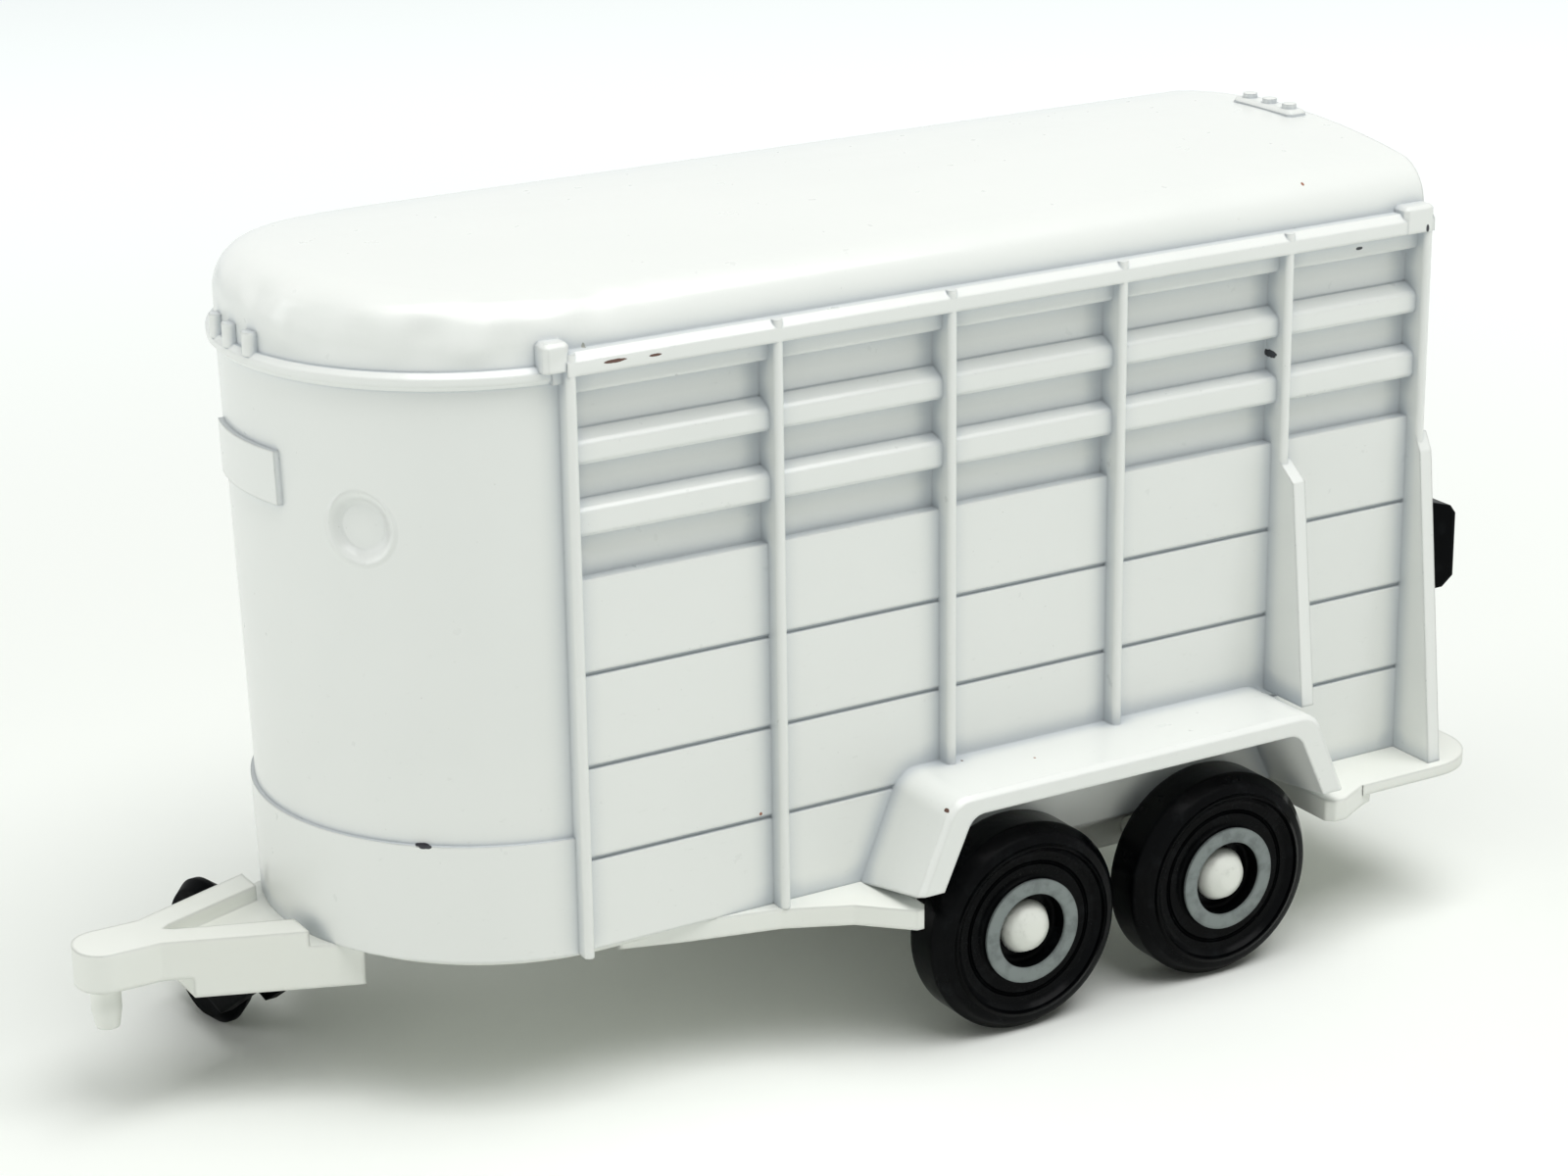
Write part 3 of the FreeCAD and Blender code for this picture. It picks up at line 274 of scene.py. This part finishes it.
def dish_relief(graph, point, normal):
    """The dish's sunk floor and raised rim."""
    offsets = []
    for value, middle in zip(point, DISH):
        offsets.append(graph.minus(value, middle))
    reach = graph.length(*offsets)
    rim = graph.times(graph.ring(reach, DISH_RIM, DISH_RIM_HALF), 0.6)
    return graph.bump(graph.plus(rim, graph.ramp(reach, *DISH_SLOPE)), DISH_DEPTH, 0.9, normal)


def enamel():
    """Thick white paint on the casting: clouded, dusty, chipped, and darkened in its corners by
    painted shade.
    """
    graph = material_graph("white_enamel")
    x, y, z = graph.position()
    cloud = graph.ramp(graph.noise(0.09, 2.0), 0.35, 0.7)
    colour = graph.blend(graph.times(cloud, 0.35), ENAMEL, ENAMEL_SHADE)
    dust = graph.ramp(graph.noise(1.9, 5.0, 0.65, (0.6, 1, 1.4)), 0.62, 0.80)
    low = graph.flip(graph.ramp(z, *GRIME_HEIGHTS))
    colour = graph.blend(graph.times(dust, graph.vary(0.04, 0.12, low)), colour, GRIME)
    # Painted shade: corners and recesses blended towards a blue grey
    corner_shading = graph.painted_corner_shade(CORNER_SHADE_REACH)
    colour = graph.blend(graph.times(corner_shading, CORNER_SHADE_SHARE), colour, SHADE_IN_CORNERS)
    patches = graph.ramp(graph.noise(2.6, 4.0, 0.6), 0.60, 0.68)
    wear = graph.times(graph.worn_edge(WEAR_RADIUS), patches)
    colour = graph.blend(graph.times(wear, 0.5), colour, WORN_EDGE)
    specks = graph.ramp(graph.noise(4.3, 1.0), 0.815, 0.835)
    colour = graph.blend(graph.times(specks, 0.35), colour, GRIME)
    for middle, half, under in CHIPS.values():
        colour = graph.blend(chip_mask(graph, (x, y, z), middle, half), colour, under)
    wavy = graph.bump(graph.noise(0.20, 2.0), 0.5 * MM, 0.14, graph.soft_normal(EDGE_SOFT))
    wavy = shoulder_dents(graph, x, z, wavy)
    wavy = dish_relief(graph, (x, y, z), wavy)
    peel = graph.bump(graph.noise(1.6, 3.0), PEEL, 0.12, wavy)
    rough = graph.vary(0.24, 0.12, graph.noise(0.8, 4.0))
    return graph.finish(Base_Color=colour, Roughness=rough, Normal=peel, IOR=ENAMEL_IOR,
                        Coat_Weight=0.3, Coat_Roughness=0.07)


def moulded_white():
    """White plastic of the base, with dust in its pores."""
    graph = material_graph("white_plastic")
    cloud = graph.ramp(graph.noise(0.12, 2.0), 0.35, 0.7)
    colour = graph.blend(graph.times(cloud, 0.5), MOULDED_WHITE, MOULDED_SHADE)
    dust = graph.ramp(graph.noise(2.2, 5.0, 0.65), 0.62, 0.82)
    colour = graph.blend(graph.times(dust, 0.16), colour, GRIME)
    fine = graph.bump(graph.noise(2.4, 3.0), GRAIN, 0.14, graph.soft_normal(EDGE_SOFT * 1.3))
    rough = graph.vary(0.36, 0.12, graph.noise(1.1, 3.0))
    return graph.finish(Base_Color=colour, Roughness=rough, Normal=fine, IOR=PLASTIC_IOR)


def black_plastic(name, roughness, gloss):
    """Black plastic with faint wear and dust."""
    graph = material_graph(name)
    worn = graph.ramp(graph.noise(0.7, 4.0, 0.6), 0.50, 0.78)
    colour = graph.blend(worn, BLACK, BLACK_WORN)
    dust = graph.ramp(graph.noise(5.0, 4.0, 0.7), 0.74, 0.80)
    colour = graph.blend(graph.times(dust, 0.22), colour, RIM_WORN)
    fine = graph.bump(graph.noise(3.0, 3.0), GRAIN, 0.18, graph.soft_normal(EDGE_SOFT * 1.2))
    rough = graph.vary(roughness, 0.14, graph.noise(1.3, 3.0))
    return graph.finish(Base_Color=colour, Roughness=rough, Normal=fine, IOR=BLACK_IOR,
                        Specular_IOR_Level=gloss)


def wheel_plastic(name, axle_x, side):
    """Black moulding with the raised ring printed grey."""
    graph = material_graph(name)
    x, y, z = graph.position()
    radius = graph.length(graph.minus(x, axle_x), graph.minus(z, WHEEL_RADIUS))
    inner = graph.ramp(radius, *GREY_BEGINS)
    outer = graph.flip(graph.ramp(radius, *GREY_ENDS))
    face = graph.ramp(graph.times(y, side), *GREY_FACE)
    ring = graph.times(graph.times(inner, outer), face)
    streak = graph.ramp(graph.noise(0.9, 4.0, 0.6), 0.42, 0.70)
    grey = graph.blend(streak, RIM_GREY, RIM_WORN)
    worn = graph.ramp(graph.noise(0.6, 4.0, 0.6), 0.50, 0.80)
    black = graph.blend(worn, BLACK, BLACK_WORN)
    dust = graph.ramp(graph.noise(5.0, 4.0, 0.7), 0.76, 0.80)
    black = graph.blend(graph.times(dust, 0.25), black, RIM_WORN)
    colour = graph.blend(ring, black, grey)
    groove = graph.times(graph.ring(radius, TYRE_GROOVE, TYRE_GROOVE_HALF), -1.0)
    relief = graph.plus(groove, graph.ring(radius, TYRE_RIDGE, TYRE_RIDGE_HALF))
    ringed = graph.bump(relief, TYRE_RELIEF, 1.0, graph.soft_normal(EDGE_SOFT * 1.4))
    fine = graph.bump(graph.noise(2.2, 3.0), GRAIN, 0.2, ringed)
    rough = graph.vary(0.15, 0.14, graph.noise(1.1, 3.0))
    return graph.finish(Base_Color=colour, Roughness=rough, Normal=fine, IOR=BLACK_IOR,
                        Specular_IOR_Level=WHEEL_GLOSS)


def axle_finish():
    """White plastic of the axles and their domed heads."""
    graph = material_graph("axle_white")
    cloud = graph.ramp(graph.noise(1.2, 4.0, 0.6), 0.55, 0.75)
    colour = graph.blend(graph.times(cloud, 0.22), DOME, GRIME)
    fine = graph.bump(graph.noise(2.6, 3.0), GRAIN, 0.2, graph.soft_normal(EDGE_SOFT * 2.4))
    return graph.finish(Base_Color=colour, Roughness=0.3, Normal=fine, IOR=PLASTIC_IOR)


def dress(node, material):
    """Give one CAD node its material."""
    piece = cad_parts[node]
    piece.data.materials.clear()
    piece.data.materials.append(material)


def dress_all():
    """Every CAD node in its own finish."""
    dress("body_casting", enamel())
    dress("base_moulding", moulded_white())
    dress("rear_door", black_plastic("door_black", roughness=0.26, gloss=0.03))
    dress("jockey_fork", black_plastic("fork_black", roughness=0.34, gloss=0.01))
    dress("jockey_wheel", black_plastic("support_wheel_black", roughness=0.34, gloss=0.01))
    axle_white = axle_finish()
    for place, axle_x in (("front", FRONT_AXLE_X), ("rear", REAR_AXLE_X)):
        dress("axle_" + place, axle_white)
        for side, sign in (("left", 1), ("right", -1)):
            wheel = "wheel_%s_%s" % (place, side)
            dress("road_" + wheel, wheel_plastic(wheel, axle_x, sign))


def floor():
    """A wide pale floor that keeps the toy's shadow."""
    mesh = bpy.data.meshes.new("floor")
    edge = FLOOR_REACH
    corners = [(-edge, -edge, 0), (edge, -edge, 0), (edge, edge, 0), (-edge, edge, 0)]
    mesh.from_pydata(corners, [], [(0, 1, 2, 3)])
    piece = bpy.data.objects.new("floor", mesh)
    bpy.context.collection.objects.link(piece)
    graph = material_graph("floor_paper")
    paper = graph.add("BsdfDiffuse", Color=FLOOR)
    away = graph.length(*graph.position()[:2])
    near = graph.times(graph.ramp(away, *GLOW_NEAR), GLOW_NEAR_SHARE)
    far = graph.times(graph.ramp(away, *GLOW_FAR), GLOW_FAR_SHARE)
    glow = graph.add("Emission", Color=FLOOR_GLOW, Strength=graph.plus(near, far))
    both = graph.add("AddShader", paper.outputs[0], glow.outputs[0])
    mesh.materials.append(graph.show(both))


def soft_box(name, place, width, power):
    """A square lamp that faces the toy, its width in metres and its power in watts."""
    lamp = bpy.data.lights.new(name, "AREA")
    lamp.shape = "SQUARE"
    lamp.size = width
    lamp.energy = power
    piece = bpy.data.objects.new(name, lamp)
    piece.location = place
    piece.rotation_euler = (Vector(LAMP_TARGET) - Vector(place)).to_track_quat("-Z", "Y").to_euler()
    bpy.context.collection.objects.link(piece)


def studio():
    """Plain light from all round, a white background, and two soft boxes."""
    world = bpy.data.worlds.new("studio")
    bpy.context.scene.world = world
    graph = Graph(world)
    rays = graph.add("LightPath")
    seen = graph.math("MAXIMUM", rays.outputs["Is Camera Ray"], rays.outputs["Is Glossy Ray"])
    dim = graph.add("Background", Color=ROOM_LIGHT, Strength=ROOM_STRENGTH)
    bright = graph.add("Background", Color=BACKGROUND, Strength=BACKGROUND_STRENGTH)
    mix = graph.add("MixShader", seen, dim.outputs[0], bright.outputs[0])
    graph.add("OutputWorld", Surface=mix.outputs[0])
    soft_box("key", KEY_PLACE, width=0.6, power=4.95)
    soft_box("far_fill", FILL_PLACE, width=0.4, power=0.9)


dress_all()
floor()
studio()

# Camera, from the photograph's own perspective
CAMERA_PLACE = (0.11600, 0.20233, 0.10732)
CAMERA_RIGHT = (-0.85966, 0.51071, -0.01312)
CAMERA_UP = (-0.17836, -0.27598, 0.94447)
CAMERA_BACK = (0.47872, 0.81426, 0.32834)
FOCAL_MM = 85.845
SENSOR_MM = 36.0
camera = bpy.data.objects.new("camera", bpy.data.cameras.new("camera"))
camera.data.lens = FOCAL_MM
camera.data.sensor_width = SENSOR_MM
camera.data.clip_start = 0.01
camera.data.clip_end = 20
turn = Matrix((CAMERA_RIGHT, CAMERA_UP, CAMERA_BACK)).transposed().to_4x4()
camera.matrix_world = Matrix.Translation(CAMERA_PLACE) @ turn
bpy.context.collection.objects.link(camera)
scene = bpy.context.scene
scene.camera = camera
scene.view_settings.view_transform = "Standard"
